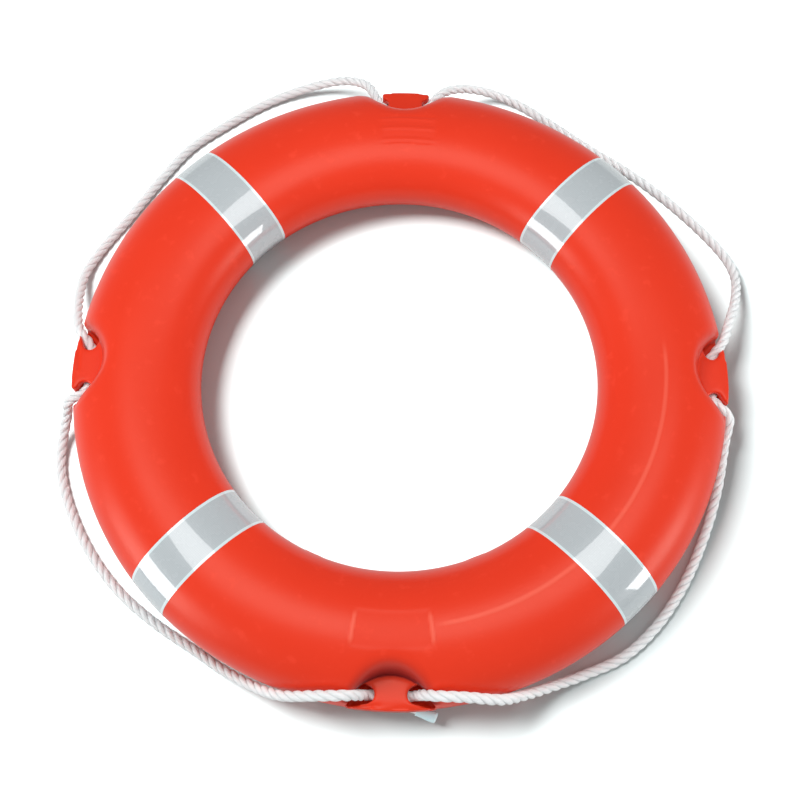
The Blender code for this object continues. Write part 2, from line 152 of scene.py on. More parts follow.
class Wire:
    """A value inside a finish. Sums on it add Math nodes to the finish."""

    def __init__(self, tree, socket=None):
        self.tree = tree
        self.socket = socket

    def node(self, kind, settings, sockets, output=0):
        """Add a node: its settings first, then the values or wires of its sockets."""
        added = self.tree.nodes.new("ShaderNode" + kind)
        for name, value in settings.items():
            setattr(added, name, value)
        for name, value in sockets.items():
            if isinstance(value, Wire):
                self.tree.links.new(value.socket, added.inputs[name])
            else:
                added.inputs[name].default_value = value
        return Wire(self.tree, added.outputs[output])

    def math(self, operation, first, second=0.0):
        return self.node("Math", {"operation": operation}, {0: first, 1: second})

    def __add__(self, other):
        return self.math("ADD", self, other)

    def __radd__(self, other):
        return self.math("ADD", other, self)

    def __sub__(self, other):
        return self.math("SUBTRACT", self, other)

    def __rsub__(self, other):
        return self.math("SUBTRACT", other, self)

    def __mul__(self, other):
        return self.math("MULTIPLY", self, other)

    def __rmul__(self, other):
        return self.math("MULTIPLY", other, self)

    def __abs__(self):
        return self.math("ABSOLUTE", self)

    def sine(self):
        return self.math("SINE", self)

    def rise(self, start, end):
        """Nought before the start, one past the end, and smooth between them."""
        return self.node(
            "MapRange", {"interpolation_type": "SMOOTHSTEP"},
            {"Value": self, "From Min": start, "From Max": end},
        )

    def tint(self, low, high):
        """A colour that goes from the low one at nought to the high one at one."""
        first = low if isinstance(low, Wire) else (*low, 1)
        second = high if isinstance(high, Wire) else (*high, 1)
        return self.node("Mix", {"data_type": "RGBA"}, {0: self, 6: first, 7: second}, 2)

    def speckle(self, scale, detail=2.0):
        """Noise on the piece's own coordinates, from nought to one."""
        return self.node(
            "TexNoise", {}, {"Vector": self.place(), "Scale": scale, "Detail": detail}
        )

    def place(self):
        return self.node("TexCoord", {}, {}, 3)

    def parted(self, part):
        """One part of a vector: 0, 1 or 2."""
        return self.node("SeparateXYZ", {}, {0: self}, part)

    def relief(self, height, distance):
        """A bump of a real height, in metres."""
        return self.node("Bump", {}, {"Height": height, "Distance": distance, "Strength": 1.0})


def new_finish(name, **plain):
    """A material with its plain values set, and a wire into its nodes."""
    material = bpy.data.materials.new(name)
    material.use_nodes = True
    shader = material.node_tree.nodes["Principled BSDF"]
    for socket, value in plain.items():
        shader.inputs[socket.replace("_", " ")].default_value = value
    return material, Wire(material.node_tree)


def feed(material, **wires):
    """Lead wires to the shader's sockets."""
    shader = material.node_tree.nodes["Principled BSDF"]
    for socket, wire in wires.items():
        material.node_tree.links.new(wire.socket, shader.inputs[socket.replace("_", " ")])


def add_piece(name, mesh, material):
    """Put a finished mesh in the scene as a piece with the given finish."""
    mesh.materials.clear()
    mesh.materials.append(material)
    piece = bpy.data.objects.new(name, mesh)
    bpy.context.scene.collection.objects.link(piece)
    return piece


def place(azimuth, reach, along, height):
    """A point given from a spoke: out along it, across it to the left, and up."""
    outward = Vector((cos(azimuth), sin(azimuth), 0))
    across = Vector((-sin(azimuth), cos(azimuth), 0))
    return outward * reach + across * along + Vector((0, 0, height))


def smooth_route(points, longest):
    """Points on a centripetal spline through a route, no step over the longest."""
    ends = (2 * points[0] - points[1], 2 * points[-1] - points[-2])
    chain = [ends[0], *points, ends[1]]
    route = []
    for p0, p1, p2, p3 in zip(chain, chain[1:], chain[2:], chain[3:]):
        t1 = sqrt((p1 - p0).length)
        t2 = t1 + sqrt((p2 - p1).length)
        t3 = t2 + sqrt((p3 - p2).length)
        count = ceil((p2 - p1).length / longest)
        for i in range(count):
            t = t1 + (t2 - t1) * i / count
            a1 = p0.lerp(p1, t / t1)
            a2 = p1.lerp(p2, (t - t1) / (t2 - t1))
            a3 = p2.lerp(p3, (t - t2) / (t3 - t2))
            b1 = a1.lerp(a2, t / t2)
            b2 = a2.lerp(a3, (t - t1) / (t3 - t1))
            route.append(b1.lerp(b2, (t - t1) / (t2 - t1)))
    route.append(points[-1])
    return route


def laid_rope(name, path):
    """Three strands twisted round a path, each with a map of its yarns."""
    curve = bpy.data.curves.new(name, "CURVE")
    curve.dimensions = "3D"
    curve.bevel_depth = STRAND_RADIUS
    curve.bevel_resolution = 4
    curve.use_fill_caps = True
    normal = Vector((0, 0, 1))
    if abs((path[1] - path[0]).normalized().z) > 0.9:
        normal = Vector((1, 0, 0))
    travelled = 0
    strands = [[] for _ in range(STRANDS)]
    for i, point in enumerate(path):
        ahead = (path[min(i + 1, len(path) - 1)] - path[max(i - 1, 0)]).normalized()
        normal = (normal - ahead * normal.dot(ahead)).normalized()
        side = ahead.cross(normal)
        if i:
            travelled += (point - path[i - 1]).length
        for k, strand in enumerate(strands):
            turn = 2 * pi * (k / STRANDS + travelled / ROPE_LAY)
            strand.append(point + (normal * cos(turn) + side * sin(turn)) * STRAND_REACH)
    for strand in strands:
        spline = curve.splines.new("POLY")
        spline.points.add(len(strand) - 1)
        for node, point in zip(spline.points, strand):
            node.co = (*point, 1)
    drawn = bpy.data.objects.new(name, curve)
    mesh = bpy.data.meshes.new_from_object(drawn)
    bpy.data.objects.remove(drawn)
    bpy.data.curves.remove(curve)

    bm = bmesh.new()
    bm.from_mesh(mesh)
    bmesh.ops.remove_doubles(bm, verts=bm.verts, dist=MERGE_DISTANCE)
    bmesh.ops.recalc_face_normals(bm, faces=bm.faces)
    yarns = bm.loops.layers.uv.active
    for face in bm.faces:
        for loop in face.loops:
            loop[yarns].uv.y *= travelled / ROPE_LAY
    middle = KDTree(len(path))
    for i, point in enumerate(path):
        middle.insert(point, i)
    middle.balance()
    crown = bm.verts.layers.float.new("crown")
    for vert in bm.verts:
        _, nearest, _ = middle.find(vert.co)
        near = path[max(nearest - 1, 0)]
        far = path[min(nearest + 1, len(path) - 1)]
        axis = (far - near).normalized()
        out = vert.co - path[nearest]
        out -= axis * out.dot(axis)
        vert[crown] = out.length / (ROPE_DIAMETER / 2)
    bm.to_mesh(mesh)
    bm.free()
    mesh.shade_smooth()
    return mesh


white_rope, wire = new_finish(
    "white laid rope", Roughness=0.60, Sheen_Weight=0.25, Subsurface_Weight=0.5,
    Subsurface_Radius=(1, 1, 1), Subsurface_Scale=0.0025,
)
crown = wire.node("Attribute", {"attribute_name": "crown"}, {}, 2)
yarn_map = wire.node("UVMap", {"uv_map": "UVMap"}, {})
yarn = ((yarn_map.parted(0) * STRAND_YARNS + yarn_map.parted(1) * 2.2) * (2 * pi)).sine()
soiling = wire.speckle(60, 4)
# Painted shade: the rope's colour is greyer deep in the grooves between its strands.
groove = 1 - crown.rise(0.68, 0.86)
white = soiling.tint((0.915, 0.965, 0.980), (0.935, 0.980, 0.990))
shaded = groove.tint(white, (0.80, 0.86, 0.88))
threads = (yarn * 0.5 + 0.5).tint((0.90, 0.90, 0.90), (1, 1, 1))
feed(
    white_rope,
    Base_Color=wire.node(
        "Mix", {"data_type": "RGBA", "blend_type": "MULTIPLY"},
        {0: 0.40, 6: shaded, 7: threads}, 2,
    ),
    Normal=wire.relief(yarn * 0.5 + wire.speckle(900) * 0.6, 0.00022),
)

for i, (loop, route) in enumerate(LOOP_ROUTES.items()):
    first = radians(90 * i)
    last = radians(90 * i + 90)
    points = [
        place(first, LUG_LINE_REACH, INSIDE_LUG_ALONG, MID_HEIGHT),
        place(first, LUG_LINE_REACH, LOOP_START_ALONG, MID_HEIGHT),
    ]
    for azimuth, outward, height in route:
        points.append(place(first + radians(azimuth), OUTER_RADIUS + outward, 0, height))
    points += [
        place(last, LUG_LINE_REACH, -LOOP_START_ALONG, MID_HEIGHT),
        place(last, LUG_LINE_REACH, -INSIDE_LUG_ALONG, MID_HEIGHT),
    ]
    path = smooth_route(points, STRAND_STEP)
    name = f"{loop}_grab_line"
    rope = add_piece(name, laid_rope(name, path), white_rope)
    middle_spoke = first + radians(45)
    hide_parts(f"grab_line_{loop}")
    tuple(place(middle_spoke, FOLLOWS_LUG, 0, MID_HEIGHT))
    tuple(place(middle_spoke, FOLLOWS_LOOP, 0, MID_HEIGHT))
    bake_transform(rope)


# Line in the lugs. The same rope goes on through a hole in each lug, which grips it;
# the free stretches take over just inside the lug's two mouths.
HELD_HALF_LENGTH = 0.0096

for i in range(4):
    spoke = radians(90 * i)
    held = smooth_route(
        [
            place(spoke, LUG_LINE_REACH, -HELD_HALF_LENGTH, MID_HEIGHT),
            place(spoke, LUG_LINE_REACH, HELD_HALF_LENGTH, MID_HEIGHT),
        ],
        STRAND_STEP,
    )
    name = f"held_line_{i + 1}"
    rope = add_piece(name, laid_rope(name, held), white_rope)
    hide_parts(f"line_in_lug_{i + 1}")
    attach(rope, "ring")


# Line's spare end. It comes down through the front lug, turns along the ring's edge,
# and ends in a pale plastic sleeve shrunk over the strands to keep them from fraying.
TAIL_ROUTE = (               # along, outward of the line, below the line
    (0.0000, 0.0000, 0.0058), (0.0000, 0.0000, 0.0155), (0.0035, 0.0013, 0.0215),
    (0.0125, 0.0052, 0.0258), (0.0230, 0.0101, 0.0274), (0.0460, 0.0195, 0.0282),
)
CAP_LENGTH = 0.0215
CAP_SIDES = 48
CAP_LOBE = 0.025             # how far the strands press the sleeve out, as a share
CAP_PAST_ROPE = 0.0008

tail_path = smooth_route(
    [
        place(radians(-90), LUG_LINE_REACH + outward, along, MID_HEIGHT - below)
        for along, outward, below in TAIL_ROUTE
    ],
    STRAND_STEP,
)
tail = add_piece("spare_end", laid_rope("spare_end", tail_path), white_rope)
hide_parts("line_tail")
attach(tail, "ring")

pale_cap, wire = new_finish("pale shrunk sleeve", Roughness=0.34, Coat_Weight=0.25)
cloud = wire.speckle(140, 3)
feed(
    pale_cap,
    Base_Color=cloud.tint((0.60, 0.90, 0.97), (0.80, 0.97, 0.99)),
    Normal=wire.relief(wire.speckle(420, 2), 0.00025),
)

bm = bmesh.new()
CAP_PROFILE = (              # along the sleeve, and its radius
    (0.0000, 0.0058), (-0.0003, 0.0061), (0.0000, 0.0064), (0.0006, 0.0064),
    (0.0014, 0.0060), (0.0040, 0.0061), (0.0080, 0.0060), (0.0120, 0.0061),
    (0.0165, 0.0060), (0.0192, 0.0060), (0.0205, 0.0057), (0.0213, 0.0050),
    (0.0217, 0.0038), (0.0219, 0.0020), (0.0219, 0.0000),
)
profile = [bm.verts.new((radius, 0, height)) for height, radius in CAP_PROFILE]
profile.insert(0, bm.verts.new((0, 0, 0.0004)))
edges = [bm.edges.new(pair) for pair in zip(profile, profile[1:])]
bmesh.ops.spin(
    bm, geom=profile + edges, axis=(0, 0, 1), cent=(0, 0, 0), angle=2 * pi,
    steps=CAP_SIDES, use_merge=True,
)
bmesh.ops.remove_doubles(bm, verts=bm.verts, dist=MERGE_DISTANCE)
for vert in bm.verts:
    turn = atan2(vert.co.y, vert.co.x) - vert.co.z * 2 * pi / ROPE_LAY
    lobes = 1 + CAP_LOBE * cos(STRANDS * turn)
    vert.co.x *= lobes
    vert.co.y *= lobes
bmesh.ops.recalc_face_normals(bm, faces=bm.faces)
tail_end = (tail_path[-1] - tail_path[-2]).normalized()
turn = Vector((0, 0, 1)).rotation_difference(tail_end).to_matrix()
bmesh.ops.rotate(bm, verts=bm.verts, cent=(0, 0, 0), matrix=turn)
bmesh.ops.translate(bm, verts=bm.verts, vec=tail_path[-1] - tail_end * (CAP_LENGTH - CAP_PAST_ROPE))
mesh = bpy.data.meshes.new("end_sleeve")
bm.to_mesh(mesh)
bm.free()
mesh.shade_smooth()
cap = add_piece("end_sleeve", mesh, pale_cap)
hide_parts("line_tail_cap")
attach(cap, "ring")


# Shell. One rotomoulded skin of orange polyethylene, satin from the mould, with a
# scoop over and under each lug. It is drawn as four quarters that meet under the bands.
SECTION_RADIUS = 0.29425
HALF_WIDTH = 0.07075
HALF_HEIGHT = 0.0528
LUG_LOW = 0.0387
LUG_HIGH = 0.0657
SCOOP_CENTRE = 0.372
FRONT_SCOOP = (              # height, and the oval's half sizes in to the ring and along
    (0.0459, 0.0410, 0.0480), (0.0600, 0.0410, 0.0470), (0.0657, 0.0410, 0.0455),
    (0.0750, 0.0420, 0.0430), (0.0840, 0.0445, 0.0420), (0.0920, 0.0485, 0.0415),
    (0.0980, 0.0520, 0.0415), (0.1050, 0.0580, 0.0420), (0.1150, 0.0580, 0.0420),
)
OTHER_SCOOP = (
    (0.0459, 0.0410, 0.0510), (0.0600, 0.0410, 0.0510), (0.0657, 0.0410, 0.0510),
    (0.0750, 0.0420, 0.0500), (0.0840, 0.0445, 0.0490), (0.0920, 0.0485, 0.0490),
    (0.0980, 0.0520, 0.0490), (0.1050, 0.0580, 0.0500), (0.1150, 0.0580, 0.0500),
)
SCOOP_UNDER = (
    (-0.0100, 0.0550, 0.0600), (0.0000, 0.0550, 0.0600), (0.0387, 0.0410, 0.0510),
)
SCOOP_SIDES = 128
LUG_EDGE = 0.366
LUG_HORN_EDGE = 0.3657       # the horns taper out to here, along the ring's edge
LUG_FACE = 0.3658            # the face is smoothed to here
LUG_FACE_DEPTH = 0.0008      # from this far inside it
LUG_FACE_EASE = 0.0005
LUG_HORN_START = 0.028
LUG_HORN_FALL = 0.55         # how steeply the horns run down to the scoop's floor
LUG_ROOT = 0.326
WAIST_STEPS = 24
HORN_STEPS = 12
TUNNEL_RADIUS = 0.0060
TUNNEL_HALF_LENGTH = 0.030
TUNNEL_SIDES = 48
TAIL_HOLE_START = 0.005      # below the front lug
QUARTER_STEPS = 96
SECTION_STEPS = 144
VOXEL = 0.0018
RIM_WIDTH = 0.012            # each side of a scoop's rim, where the mould is rounded
RIM_PASSES = 60
RIM_ABOVE_LUG = 0.002        # the rounding starts this far over the lug
SKIN_PASSES = 3
SKIN_OUTSIDE = -0.0005       # points between these depths are pressed to the section
SKIN_INSIDE = 0.0006
SKIN_FLAT = 0.0001
SKIN_EASE = 0.0005
CREASE_RISE = 0.036          # how far up a scoop's wall the painted shade of its corner fades out
CREASE_REACH = 0.009         # and how far it spreads over the scoop's rim
CREASE_LIFT = 0.0004         # above the lug, where it begins
CREASE_ONSET = 20
CREASE_FADE = 1.7
FAINT_CREASE = 0.3           # the share of it at the lugs other than the front one
# Each bare panel: the azimuth of its middle, half of what it spans, and its two sides
FRONT_PANEL = (radians(270.1), radians(7.8), 0.2725, 0.3090)
REAR_PANEL = (radians(88.9), radians(6.1), 0.2700, 0.3060)
PANEL_LOW = 0.09             # the panels lie above this height
PANEL_DEPTH = 0.0004
PANEL_EDGE = 0.0030          # half the width of its sloping edge
RIB_HEIGHT = 0.0007
RIB_HALF_WIDTH = 0.0026
RIB_FADE = 0.006             # at the ends of the front panel's ribs
REAR_RIBS = (0.2750, 0.2895, 0.3020)
CREST_LINE_REACH = 0.2881


def cutter(name, bm):
    """A closed shape as an object of its own, to cut the shell with or join to it."""
    bmesh.ops.recalc_face_normals(bm, faces=bm.faces)
    mesh = bpy.data.meshes.new(name)
    bm.to_mesh(mesh)
    bm.free()
    tool = bpy.data.objects.new(name, mesh)
    bpy.context.scene.collection.objects.link(tool)
    return tool


def oval_well(azimuth, levels):
    """An oval well at a spoke, through levels of height and the oval's half sizes."""
    bm = bmesh.new()
    face = bmesh.ops.create_circle(bm, cap_ends=True, segments=SCOOP_SIDES, radius=1)["verts"]
    size = (1, 1)
    region = bm.faces[:]
    for i, (height, *half) in enumerate(levels):
        if i:
            region = bmesh.ops.extrude_face_region(bm, geom=region)["geom"]
            face = [part for part in region if isinstance(part, bmesh.types.BMVert)]
            region = [part for part in region if isinstance(part, bmesh.types.BMFace)]
        bmesh.ops.scale(bm, vec=(half[0] / size[0], half[1] / size[1], 1), verts=face)
        bmesh.ops.translate(bm, vec=(0, 0, height - face[0].co.z), verts=face)
        size = half
    bmesh.ops.translate(bm, vec=(SCOOP_CENTRE, 0, 0), verts=bm.verts)
    bmesh.ops.rotate(bm, cent=(0, 0, 0), matrix=Matrix.Rotation(azimuth, 3, "Z"), verts=bm.verts)
    return cutter("well", bm)


def lug_side(waist, flare, horn):
    """One side of a lug's plan: its root, the waist round the line, and its horn."""
    widest = waist + flare
    side = [(LUG_ROOT, widest)]
    for i in range(WAIST_STEPS + 1):
        angle = pi * i / WAIST_STEPS
        side.append((LUG_LINE_REACH - flare * cos(angle), widest - flare * sin(angle)))
    for i in range(HORN_STEPS):
        along = horn * (1 - i / HORN_STEPS)
        edge = LUG_EDGE + (LUG_HORN_EDGE - LUG_EDGE) * along / horn
        side.append((sqrt(edge ** 2 - along ** 2), along))
    return side


def lug_block(azimuth, waist, flare, right_horn, left_horn):
    """A lug, waisted where the line goes through it."""
    plan = lug_side(waist, flare, left_horn) + [(LUG_EDGE, 0)]
    plan += [(reach, -along) for reach, along in reversed(lug_side(waist, flare, right_horn))]
    bm = bmesh.new()
    bm.faces.new([bm.verts.new(place(azimuth, *point, LUG_LOW)) for point in plan])
    raised = bmesh.ops.extrude_face_region(bm, geom=bm.faces[:])["geom"]
    raised = [part for part in raised if isinstance(part, bmesh.types.BMVert)]
    bmesh.ops.translate(bm, vec=(0, 0, LUG_HIGH - LUG_LOW), verts=raised)
    for vert in raised:
        along = abs(vert.co.y * cos(azimuth) - vert.co.x * sin(azimuth))
        vert.co.z -= max(0, along - LUG_HORN_START) * LUG_HORN_FALL
    return cutter("lug", bm)


def bar(start, end, radius):
    """A round bar from one point to another."""
    axis = end - start
    turn = Vector((0, 0, 1)).rotation_difference(axis).to_matrix().to_4x4()
    bm = bmesh.new()
    bmesh.ops.create_cone(
        bm, segments=TUNNEL_SIDES, radius1=radius, radius2=radius, depth=axis.length, cap_ends=True,
        matrix=Matrix.Translation((start + end) / 2) @ turn,
    )
    return cutter("bar", bm)


def inset_of(co):
    """How far a point lies inside the ring's oval section, about."""
    across = (hypot(co.x, co.y) - SECTION_RADIUS) / HALF_WIDTH
    rise = (co.z - MID_HEIGHT) / HALF_HEIGHT
    size = hypot(across, rise)
    from_middle = hypot(co.z - MID_HEIGHT, hypot(co.x, co.y) - SECTION_RADIUS)
    return (1 - size) * from_middle / max(size, 0.01)


def off_scoop_wall(azimuth, scoop, co):
    """How far a point lies from the leaning wall of the scoop over or under a lug."""
    out = co.x * cos(azimuth) + co.y * sin(azimuth) - SCOOP_CENTRE
    along = -co.x * sin(azimuth) + co.y * cos(azimuth)
    levels = scoop if co.z > MID_HEIGHT else SCOOP_UNDER
    for (low, *narrow), (high, *wide) in zip(levels, levels[1:]):
        if co.z <= high:
            break
    part = min(max((co.z - low) / (high - low), 0), 1)
    depth = narrow[0] + (wide[0] - narrow[0]) * part
    length = narrow[1] + (wide[1] - narrow[1]) * part
    size = hypot(out / depth, along / length)
    return abs(size - 1) * hypot(out, along) / max(size, 0.01)


def press_panel(vert, panel, painted_rib_highlight, rear):
    """Sink a point of the crest into the panel beside it, raise the panel's ribs, and mark the front
    ribs for a painted highlight.
    """
    middle, half, near, far = REAR_PANEL if rear else FRONT_PANEL
    reach = hypot(vert.co.x, vert.co.y)
    turn = (atan2(vert.co.y, vert.co.x) - middle + pi) % (2 * pi) - pi
    past_end = (abs(turn) - half) * reach
    past_side = max(near - reach, reach - far)
    inside = min(max(0.5 - max(past_end, past_side) / PANEL_EDGE / 2, 0), 1)
    inside *= inside * (3 - 2 * inside)
    vert[panel] = inside
    if rear:
        ribs = max(1 - (abs(reach - rib) / RIB_HALF_WIDTH) ** 2 for rib in REAR_RIBS) * inside
    else:
        ribs = (1 - (past_end / RIB_HALF_WIDTH) ** 2) * min(max(-past_side / RIB_FADE, 0), 1)
        # The front panel's end ribs get a painted highlight: their colour is made paler.
        vert[painted_rib_highlight] = max(ribs, 0)
    vert.co.z += RIB_HEIGHT * max(ribs, 0) - PANEL_DEPTH * inside


def quarter(name, azimuth, scoop, tools):
    """A quarter of the shell with its lug, cut by tools and with its edges softened."""
    bm = bmesh.new()
    bmesh.ops.create_circle(bm, segments=SECTION_STEPS, radius=1)
    bmesh.ops.scale(bm, vec=(HALF_WIDTH, HALF_HEIGHT, 1), verts=bm.verts)
    bmesh.ops.rotate(bm, cent=(0, 0, 0), matrix=Matrix.Rotation(radians(90), 3, "X"), verts=bm.verts)
    bmesh.ops.translate(bm, vec=(SECTION_RADIUS, 0, MID_HEIGHT), verts=bm.verts)
    for vert in bm.verts:
        vert.co.z = max(vert.co.z, 0)
    bmesh.ops.rotate(
        bm, cent=(0, 0, 0), matrix=Matrix.Rotation(azimuth - radians(45), 3, "Z"), verts=bm.verts
    )
    bmesh.ops.spin(
        bm, geom=bm.verts[:] + bm.edges[:], axis=(0, 0, 1), cent=(0, 0, 0),
        angle=radians(90), steps=QUARTER_STEPS,
    )
    bmesh.ops.holes_fill(bm, edges=bm.edges, sides=0)
    block = cutter(name, bm)
    for operation, tool in tools:
        cut = block.modifiers.new(tool.name, "BOOLEAN")
        cut.operation = operation
        cut.solver = "EXACT"
        cut.object = tool
    remesh = block.modifiers.new("skin", "REMESH")
    remesh.mode = "VOXEL"
    remesh.voxel_size = VOXEL
    mesh = bpy.data.meshes.new_from_object(
        block.evaluated_get(bpy.context.evaluated_depsgraph_get())
    )
    for done in [block] + [tool for _, tool in tools]:
        bpy.data.objects.remove(done)

    bm = bmesh.new()
    bm.from_mesh(mesh)
    for _ in range(SKIN_PASSES):
        bmesh.ops.smooth_vert(
            bm, verts=bm.verts, factor=0.5, use_axis_x=True, use_axis_y=True, use_axis_z=True
        )
    rim = [
        vert for vert in bm.verts
        if inset_of(vert.co) < RIM_WIDTH and off_scoop_wall(azimuth, scoop, vert.co) < RIM_WIDTH
        and not LUG_LOW < vert.co.z < LUG_HIGH + RIM_ABOVE_LUG
    ]
    for _ in range(RIM_PASSES):
        bmesh.ops.smooth_vert(
            bm, verts=rim, factor=0.5, use_axis_x=True, use_axis_y=True, use_axis_z=True
        )
    for vert in bm.verts:
        inset = inset_of(vert.co)
        reach = hypot(vert.co.x, vert.co.y)
        if SKIN_OUTSIDE < inset < SKIN_INSIDE:
            keep = min(max((inset - SKIN_FLAT) / SKIN_EASE, 0), 1)
            wanted = inset * keep * keep * (3 - 2 * keep)
            centre = Vector((
                vert.co.x / reach * SECTION_RADIUS, vert.co.y / reach * SECTION_RADIUS, MID_HEIGHT
            ))
            out = (vert.co - centre).normalized()
            vert.co += out * (inset - wanted)
            vert.co.z = max(vert.co.z, 0)
        elif reach > LUG_FACE - LUG_FACE_DEPTH and LUG_LOW < vert.co.z < LUG_HIGH:
            pressed = min((reach - LUG_FACE + LUG_FACE_DEPTH) / LUG_FACE_EASE, 1)
            vert.co.xy *= 1 + (LUG_FACE / reach - 1) * pressed
    # Painted shade: each scoop's wall is drawn darker in its corner just over the lug, most at the
    # front lug.
    crease_shade = bm.verts.layers.float.new("crease_shade")
    panel = bm.verts.layers.float.new("panel")
    painted_rib_highlight = bm.verts.layers.float.new("painted_rib_highlight")
    for vert in bm.verts:
        risen = (vert.co.z - LUG_HIGH - CREASE_LIFT) / CREASE_RISE
        if 0 < risen < 1:
            vert[crease_shade] = min(risen * CREASE_ONSET, 1) * (1 - risen ** CREASE_FADE)
            vert[crease_shade] *= max(1 - off_scoop_wall(azimuth, scoop, vert.co) / CREASE_REACH, 0)
            if name != "front_quarter":
                vert[crease_shade] *= FAINT_CREASE
        elif vert.co.z > PANEL_LOW and name in ("front_quarter", "rear_quarter"):
            press_panel(vert, panel, painted_rib_highlight, name == "rear_quarter")
    bm.to_mesh(mesh)
    bm.free()
    mesh.shade_smooth()
    return mesh


orange_plastic, wire = new_finish(
    "orange polyethylene", Roughness=0.40, Specular_IOR_Level=0.38,
    Specular_Tint=(1, 0.86, 0.74, 1),
)
spot = wire.place()
reach = wire.node("VectorMath", {"operation": "LENGTH"}, {
    0: wire.node("VectorMath", {"operation": "MULTIPLY"}, {0: spot, 1: (1, 1, 0)})
}, 1)
# A fine moulded line near the crest at the front right: its groove in the bump is real, its paler
# colour is a painted highlight.
line = 1 - abs(reach - CREST_LINE_REACH).rise(0.0004, 0.0034)
line = line * spot.parted(2).rise(0.08, 0.095) * spot.parted(0).rise(0.040, 0.060)
line = line * (1 - spot.parted(1).rise(0.0, 0.03))
crease_shade = wire.node("Attribute", {"attribute_name": "crease_shade"}, {}, 2)
panel = wire.node("Attribute", {"attribute_name": "panel"}, {}, 2)
painted_rib_highlight = wire.node("Attribute", {"attribute_name": "painted_rib_highlight"}, {}, 2)
cloud = wire.speckle(9, 3)
scuff = wire.speckle(70, 5).rise(0.58, 0.75)
base = cloud.tint((0.720, 0.033, 0.010), (0.780, 0.040, 0.013))
base = (scuff * 0.30).tint(base, (0.88, 0.065, 0.030))
# Painted highlight: the front panel's end ribs and the crest line are drawn paler.
base = (line * 0.35 + painted_rib_highlight * 0.5).tint(base, (0.90, 0.16, 0.10))
# Painted shade in the corner over each lug, from the shell's attribute.
base = (crease_shade * 0.92).tint(base, (0.11, 0.004, 0.012))
feed(
    orange_plastic,
    Base_Color=base,
    Roughness=0.30 + wire.speckle(34, 3) * 0.06 + scuff * 0.05 + panel * 0.15 + crease_shade * 0.2,
    Normal=wire.relief(wire.speckle(1100, 2) * 0.35 + wire.speckle(240, 2) - line * 2.0, 0.00006),
)

QUARTERS = (                 # name, azimuth, the lug's waist, its flare, and its horns' reach
    ("right_quarter", 0, 0.0195, 0.0085, 0.033, 0.033),
    ("rear_quarter", 90, 0.0205, 0.0065, 0.030, 0.029),
    ("left_quarter", 180, 0.0190, 0.0085, 0.040, 0.029),
    ("front_quarter", 270, 0.0165, 0.0090, 0.046, 0.046),
)
for name, spoke, waist, flare, right_horn, left_horn in QUARTERS:
    azimuth = radians(spoke)
    scoop = FRONT_SCOOP if name == "front_quarter" else OTHER_SCOOP
    tools = [
        ("DIFFERENCE", oval_well(azimuth, scoop)),
        ("DIFFERENCE", oval_well(azimuth, SCOOP_UNDER)),
        ("UNION", lug_block(azimuth, waist, flare, right_horn, left_horn)),
        ("DIFFERENCE", bar(
            place(azimuth, LUG_LINE_REACH, -TUNNEL_HALF_LENGTH, MID_HEIGHT),
            place(azimuth, LUG_LINE_REACH, TUNNEL_HALF_LENGTH, MID_HEIGHT), TUNNEL_RADIUS,
        )),
    ]
    if name == "front_quarter":
        tools.append(("DIFFERENCE", bar(
            place(azimuth, LUG_LINE_REACH, 0, LUG_LOW - TAIL_HOLE_START),
            place(azimuth, LUG_LINE_REACH, 0, MID_HEIGHT), TUNNEL_RADIUS,
        )))
    shell = add_piece(
        name, quarter(name, azimuth, scoop, tools), orange_plastic
    )
    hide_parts("ring_shell")
    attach(shell, "ring")


# Foam core. Rigid polyurethane poured into the shell through its filling hole; it
# fills the whole inside and is never seen, so the CAD node keeps its shape.
foam, wire = new_finish("rigid foam", Roughness=0.9)
cell = wire.node("TexVoronoi", {}, {"Vector": wire.place(), "Scale": 700.0})
feed(
    foam,
    Base_Color=wire.speckle(40, 3).tint((0.78, 0.68, 0.42), (0.88, 0.80, 0.56)),
    Normal=wire.relief(cell, 0.0004),
)
for material_slot in frame["nodes"]["foam_core"].material_slots:
    material_slot.material = foam


# Bands. Grey reflective sheeting with paler borders, stuck round the section half way
# between the lugs; its face is smooth and hard, over rows of small cells.
BAND_WIDTH = 0.050
BAND_BORDER = 0.003
BORDER_BLUR = 0.0003
BAND_PROUD = 0.00025
BAND_THICKNESS = 0.0006
BAND_SWEEP = 16              # degrees swept, before the band is cut to its width
BAND_STEPS = 40
BAND_SECTION = 192
CELL_SIZE = 0.0036
SECTION_MEAN_RADIUS = 0.062  # for the band's own map

sheeting, wire = new_finish(
    "reflective sheeting", Roughness=0.30, Coat_Weight=1.0, Coat_Roughness=0.03, Coat_IOR=1.8
)
band_map = wire.node("UVMap", {"uv_map": "band"}, {})
across = band_map.parted(0)
around = band_map.parted(1)
border_start = BAND_WIDTH / 2 - BAND_BORDER
border = abs(across).rise(border_start - BORDER_BLUR, border_start + BORDER_BLUR)
per_metre = 2 * pi / CELL_SIZE
rows = ((across + around) * per_metre).sine() * ((across - around) * per_metre).sine()
cells = rows.rise(-0.2, 0.5)
grey = (cells * 0.5).tint((0.435, 0.48, 0.50), (0.505, 0.545, 0.565))
feed(
    sheeting,
    Base_Color=border.tint(grey, (0.66, 0.78, 0.80)),
    Roughness=0.22 + wire.speckle(90, 3) * 0.1,
    Normal=wire.relief(cells * 0.5 + wire.speckle(30, 1) * 0.5, 0.00002),
)

